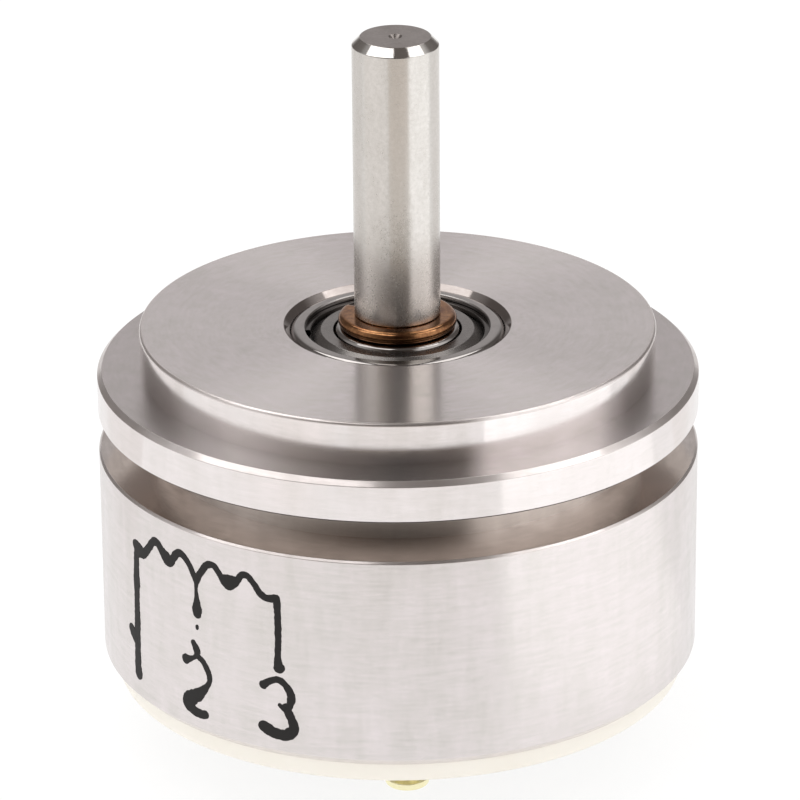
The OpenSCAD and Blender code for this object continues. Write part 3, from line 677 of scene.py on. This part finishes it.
# Filled thermoset: opaque and cream, with a soft gloss, the faint grain of its filler and slow
# marks of its flow in the mould.
filler_grain = 0.1
grain_depth = 0.002
flow_length = 4
moulded_cover, cover_tree = new_material("moulded_thermoset")
cover_place = add_node(cover_tree, "ShaderNodeTexCoord")
cover_grain = add_node(cover_tree, "ShaderNodeTexNoise", None,
    {"Vector": cover_place.outputs["Object"], "Scale": 1 / (filler_grain * mm), "Detail": 4.0})
cover_flow = add_node(cover_tree, "ShaderNodeTexNoise", None,
    {"Vector": cover_place.outputs["Object"], "Scale": 1 / (flow_length * mm), "Detail": 3.0,
        "Distortion": 1.0})
cover_tint = add_node(cover_tree, "ShaderNodeMix", {"data_type": "RGBA"},
    {"Factor": cover_flow.outputs["Fac"], 6: linear("#faf6ee"), 7: linear("#f4eee3")})
cover_gloss = add_node(cover_tree, "ShaderNodeMapRange", None,
    {"Value": cover_grain.outputs["Fac"], "To Min": 0.38, "To Max": 0.52})
cover_bump = add_node(cover_tree, "ShaderNodeBump", None,
    {"Height": cover_grain.outputs["Fac"], "Distance": grain_depth * mm})
cover_shader = add_node(cover_tree, "ShaderNodeBsdfPrincipled", None,
    {"Base Color": cover_tint.outputs[2], "Roughness": cover_gloss.outputs["Result"], "IOR": 1.54,
        "Normal": cover_bump.outputs["Normal"]})
add_node(cover_tree, "ShaderNodeOutputMaterial", None, {"Surface": cover_shader.outputs["BSDF"]})

cover = turned("moulded_cover", [
    (0, cover_top_z, 0), (plug_r, cover_top_z, cover_edge), (plug_r, cover_rim_z, seat_round),
    (cover_r, cover_rim_z, rim_round), (cover_r, cover_rear_z, cover_edge),
    (recess_r, cover_rear_z, recess_round), (recess_r - cover_edge, recess_z, recess_round),
    (0, recess_z, 0),
], moulded_cover)
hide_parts("rear_cover")
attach(cover, "housing")

for number, spot in enumerate(terminal_spots, 1):
    boss = turned(f"terminal_boss_{number}", [
        (terminal_hole_r, cover_rear_z + boss_root, 0), (cover_boss_r, cover_rear_z + boss_root, 0),
        (cover_boss_r, cover_rear_z, 0), (cover_boss_r - boss_taper, boss_rear_z, boss_round),
        (terminal_hole_r, boss_rear_z, hole_round),
    ], moulded_cover, closed=True, at=spot, segments=boss_segments)
    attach(boss, "housing")

# Terminals. Turned from brass and plated with gold over nickel: turrets with three collars, that
# leads are wrapped round and soldered to. Each is headed over inside, on the element.
tip_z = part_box("terminal_2")[0].z / mm
rivet_top_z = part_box("terminal_2")[1].z / mm
neck_r = 0.45
collar_r = 0.82
collar_t = 0.3
seat_play = 0.02
seat_z = boss_rear_z - seat_play
middle_z = (boss_rear_z + tip_z) / 2
rivet_t = 0.22
turret_edge = 0.04
turret_tip_round = 0.12
turret_segments = 96

# Gold over nickel on turned brass: pale yellow and bright, with a quarter of its light scattered.
gold_plate = turned_metal(
    "gold_plate", ("#fffad6", "#f9f0c0"), roughness=0.18, spread=0.05, anisotropy=0.3,
    haze=0.25, ring_pitch=0.05, ring_depth=0.0004)
for number, spot in enumerate(terminal_spots, 1):
    terminal = turned(f"turret_{number}", [
        (0, rivet_top_z, 0), (collar_r - rivet_t, rivet_top_z, turret_edge),
        (collar_r, rivet_top_z - rivet_t / 2, turret_edge), (collar_r, rivet_top_z - rivet_t, turret_edge),
        (neck_r, rivet_top_z - rivet_t, turret_edge), (neck_r, seat_z, turret_edge),
        (collar_r, seat_z, turret_edge), (collar_r, seat_z - collar_t, turret_edge),
        (neck_r, seat_z - collar_t, turret_edge), (neck_r, middle_z + collar_t / 2, turret_edge),
        (collar_r, middle_z + collar_t / 2, turret_edge), (collar_r, middle_z - collar_t / 2, turret_edge),
        (neck_r, middle_z - collar_t / 2, turret_edge), (neck_r, tip_z + collar_t, turret_edge),
        (collar_r, tip_z + collar_t, turret_edge), (collar_r, tip_z, turret_tip_round), (0, tip_z, 0),
    ], gold_plate, at=spot, segments=turret_segments)
    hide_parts(f"terminal_{number}")
    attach(terminal, "housing")

# Hidden pieces. What the can and the bearings enclose keeps its solids from the frame, and each
# gets the finish of its own metal, moulding or print.
grain_relief = 0.02


def dress(material, *names):
    """Gives a material to pieces of the frame."""
    for name in names:
        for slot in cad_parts[name].material_slots:
            slot.material = material


def dull_surface(name, colour, dark_colour, roughness, grain):
    """A moulded or printed surface with grain of a size in mm."""
    material, tree = new_material(name)
    place = add_node(tree, "ShaderNodeTexCoord")
    speckle = add_node(tree, "ShaderNodeTexNoise", None,
        {"Vector": place.outputs["Object"], "Scale": 1 / (grain * mm), "Detail": 4.0})
    tint = add_node(tree, "ShaderNodeMix", {"data_type": "RGBA"},
        {"Factor": speckle.outputs["Fac"], 6: linear(colour), 7: linear(dark_colour)})
    bump = add_node(tree, "ShaderNodeBump", None,
        {"Height": speckle.outputs["Fac"], "Distance": grain_relief * grain * mm})
    shader = add_node(tree, "ShaderNodeBsdfPrincipled", None,
        {"Base Color": tint.outputs[2], "Roughness": roughness, "IOR": 1.5,
            "Normal": bump.outputs["Normal"]})
    add_node(tree, "ShaderNodeOutputMaterial", None, {"Surface": shader.outputs["BSDF"]})
    return material


dress(polished_steel, "rear_bearing_outer_ring", "rear_bearing_inner_ring",
    "front_bearing_balls", "rear_bearing_balls")
dress(rolled_strip_and_painted_shade, "front_bearing_inner_shield", "rear_bearing_outer_shield", "rear_bearing_inner_shield")
dress(spring_wire_and_painted_shade, "front_bearing_inner_snap_ring", "rear_bearing_outer_snap_ring",
    "rear_bearing_inner_snap_ring", "preload_washer")

# Cotton-filled phenolic: brown, with the fleck of its cloth.
phenolic_cage = dull_surface("phenolic_cage", "#6b4a30", "#4e3422", 0.5, 0.08)
dress(phenolic_cage, "front_bearing_cage", "rear_bearing_cage")

# Glass-filled moulding resin: dark and satin on the hub, brown and a little coarser on the element.
moulded_hub_resin = dull_surface("moulded_hub_resin", "#3f3c39", "#2f2d2b", 0.45, 0.1)
dress(moulded_hub_resin, "wiper_hub")
moulded_substrate = dull_surface("moulded_substrate", "#7a5638", "#644529", 0.5, 0.15)
dress(moulded_substrate, "element_substrate")

# Carbon-filled resin, screened and cured smooth: black with a low gloss.
conductive_plastic = dull_surface("conductive_plastic", "#232120", "#161514", 0.3, 0.05)
dress(conductive_plastic, "resistive_track", "collector_track")

# Silver-filled ink: pale grey and matt.
printed_silver = turned_metal(
    "printed_silver", ("#cfcdc8", "#b9b6b0"), roughness=0.4, spread=0.08, anisotropy=0.0,
    haze=0.3, ring_pitch=0.03, ring_depth=0.0006)
dress(printed_silver, "silver_traces")

# Stamped copper alloy for the arm, and paler precious metal for the combs: bright yellow strip.
spring_alloy = turned_metal(
    "spring_alloy", ("#c9a264", "#b18a50"), roughness=0.25, spread=0.05, anisotropy=0.2,
    haze=0.1, ring_pitch=0.06, ring_depth=0.0004)
dress(spring_alloy, "wiper_arm")
precious_alloy = turned_metal(
    "precious_alloy", ("#ead29a", "#d8bd82"), roughness=0.2, spread=0.05, anisotropy=0.2,
    haze=0.05, ring_pitch=0.04, ring_depth=0.0003)
dress(precious_alloy, "track_wiper", "collector_wiper")

# Studio. The part stands on its terminals on a white sweep, under four soft boxes. Cards on the
# table, seen only in the metal, shape the bands on the shaft and on the can.
floor_r = 1.2
floor_z = tip_z * mm
floor_glow = 0.85
floor_seen_level = 1.02
floor_mirrored_level = 0.96
card_rise = 0.3
floor_material, floor_tree = new_material("white_sweep")
floor_ray = add_node(floor_tree, "ShaderNodeLightPath")
floor_camera = add_node(floor_tree, "ShaderNodeMath", {"operation": "MULTIPLY"},
    {0: floor_ray.outputs["Is Camera Ray"], 1: floor_glow})
floor_share = add_node(floor_tree, "ShaderNodeMath", {"operation": "ADD"},
    {0: floor_camera.outputs["Value"], 1: floor_ray.outputs["Is Glossy Ray"]})
floor_level = add_node(floor_tree, "ShaderNodeMix", {"data_type": "FLOAT"},
    {0: floor_ray.outputs["Is Glossy Ray"], 2: floor_seen_level, 3: floor_mirrored_level})
floor_white = add_node(floor_tree, "ShaderNodeEmission", None,
    {"Color": (1, 1, 1, 1), "Strength": floor_level.outputs["Result"]})
floor_diffuse = add_node(floor_tree, "ShaderNodeBsdfDiffuse", None, {"Color": linear("#f4f3f1")})
floor_mix = add_node(floor_tree, "ShaderNodeMixShader", None,
    {0: floor_share.outputs["Value"], 1: floor_diffuse.outputs["BSDF"],
        2: floor_white.outputs["Emission"]})
add_node(floor_tree, "ShaderNodeOutputMaterial", None, {"Surface": floor_mix.outputs["Shader"]})
bpy.ops.mesh.primitive_circle_add(vertices=96, radius=floor_r, fill_type="NGON", location=(0, 0, floor_z))
floor = bpy.context.object
floor.name = "sweep"
floor.data.materials.append(floor_material)


def card(name, corners, colour, strength):
    """A card on the table, its corners in mm from the part's axis, seen only as a reflection."""
    material, tree = new_material(name)
    glow = add_node(tree, "ShaderNodeEmission", None, {"Color": linear(colour), "Strength": strength})
    add_node(tree, "ShaderNodeOutputMaterial", None, {"Surface": glow.outputs["Emission"]})
    mesh = bpy.data.meshes.new(name)
    vertices = [(x * mm, y * mm, floor_z + card_rise * mm) for x, y in corners]
    mesh.from_pydata(vertices, [], [range(len(corners))])
    mesh.materials.append(material)
    piece = bpy.data.objects.new(name, mesh)
    bpy.context.scene.collection.objects.link(piece)
    piece.visible_camera = False
    piece.visible_diffuse = False
    piece.visible_shadow = False
    piece.visible_transmission = False


card("front_card", [(-18, -50), (33, -50), (150, -222), (-90, -240)], "#dcd3ca", 1.0)
card("near_right_card", [(14, -21), (22, -33), (42, -20), (42, 6), (18, 6)], "#ffffff", 1.12)
card("right_card", [(23, -34), (31, -46), (130, -193), (260, 0), (260, 30), (43, 6), (43, -20)],
    "#ffffff", 1.28)
card("left_card", [(-22, -33), (-46, -20), (-46, 0), (-260, 0), (-200, -200), (-60, -130), (-19, -46)],
    "#fbf8f6", 1.0)
card("back_left_card", [(-28, 6), (-200, 20), (-200, 200), (-28, 60)], "#f1efee", 1.0)
card("back_right_card", [(28, 14), (28, 60), (200, 200), (200, 40)], "#f6f4f3", 1.0)


def soft_box(name, start, end, width, radiance):
    """A strip light between two points in m, turned to the part, with an even radiance over its face."""
    start, end = Vector(start), Vector(end)
    back = (start + end).normalized()
    along = end - start
    along -= along.dot(back) * back
    lamp = bpy.data.lights.new(name, "AREA")
    lamp.shape = "RECTANGLE"
    lamp.size = along.length
    lamp.size_y = width
    lamp.energy = radiance * math.pi * along.length * width
    along.normalize()
    piece = bpy.data.objects.new(name, lamp)
    piece.matrix_world = Matrix.Translation((start + end) / 2) @ Matrix(
        (along, back.cross(along), back)).transposed().to_4x4()
    bpy.context.scene.collection.objects.link(piece)


soft_box("left_box", (-0.06, -0.23, 0.55), (-0.43, 0.07, 0.41), 0.17, 1.9)
soft_box("right_box", (0.25, -0.15, 0.52), (0.43, 0.07, 0.41), 0.17, 1.7)
soft_box("back_left_box", (-0.18, 0.08, 0.55), (-0.22, 0.42, 0.50), 0.20, 2.3)
soft_box("back_right_box", (0.18, 0.08, 0.55), (0.22, 0.42, 0.50), 0.20, 2.0)

# The room, as the metal mirrors it, by compass direction in degrees from the back round by the
# left, the front and the right: dark in front, where the camera is, and on either side of the
# back, and lightest at the right. All else sees it white.
room_level = 1.2
room_tones = [
    (-180, "#b8b5b5"), (-165, "#b4b2b2"), (-150, "#5f5b59"), (-122, "#6b6765"), (-105, "#a6a5a5"),
    (-75, "#bdbcbc"), (-46, "#807c78"), (-26, "#4c443e"), (0, "#221e1a"), (30, "#4c443e"),
    (42, "#f0eeed"), (98, "#f5f4f4"), (110, "#b4b2b2"), (122, "#6b6765"), (150, "#5f5b59"),
    (165, "#b4b2b2"), (180, "#b8b5b5")]
ceiling_tone = "#5c5754"
ceiling_starts = 0.6
ceiling_full = 0.9
world = bpy.data.worlds.new("studio")
bpy.context.scene.world = world
world.use_nodes = True
room = world.node_tree
room.nodes.clear()
room_way = add_node(room, "ShaderNodeTexCoord")
room_axes = add_node(room, "ShaderNodeSeparateXYZ", None, {"Vector": room_way.outputs["Generated"]})
room_front = add_node(room, "ShaderNodeMath", {"operation": "MULTIPLY"},
    {0: room_axes.outputs["Y"], 1: -1.0})
room_angle = add_node(room, "ShaderNodeMath", {"operation": "ARCTAN2"},
    {0: room_axes.outputs["X"], 1: room_front.outputs["Value"]})
room_turn = add_node(room, "ShaderNodeMapRange", None,
    {"Value": room_angle.outputs["Value"], "From Min": -math.pi, "From Max": math.pi})
room_wall = add_node(room, "ShaderNodeValToRGB", None, {"Fac": room_turn.outputs["Result"]})
stops = room_wall.color_ramp.elements
stops[0].color = linear(room_tones[0][1])
stops[-1].color = linear(room_tones[-1][1])
for azimuth, tone in room_tones[1:-1]:
    stops.new((azimuth + 180) / 360).color = linear(tone)
room_height = add_node(room, "ShaderNodeMapRange", {"interpolation_type": "SMOOTHSTEP"},
    {"Value": room_axes.outputs["Z"], "From Min": ceiling_starts, "From Max": ceiling_full})
room_tone = add_node(room, "ShaderNodeMix", {"data_type": "RGBA"},
    {"Factor": room_height.outputs["Result"], 6: room_wall.outputs["Color"], 7: linear(ceiling_tone)})
room_mirrored = add_node(room, "ShaderNodeBackground", None,
    {"Color": room_tone.outputs[2], "Strength": room_level})
room_white = add_node(room, "ShaderNodeBackground", None, {"Color": (1, 1, 1, 1), "Strength": 1.0})
room_ray = add_node(room, "ShaderNodeLightPath")
room_both = add_node(room, "ShaderNodeMixShader", None,
    {0: room_ray.outputs["Is Glossy Ray"], 1: room_white.outputs["Background"],
        2: room_mirrored.outputs["Background"]})
add_node(room, "ShaderNodeOutputWorld", None, {"Surface": room_both.outputs["Shader"]})

# Picture. Colours show as they are written.
bpy.context.scene.view_settings.view_transform = "Standard"
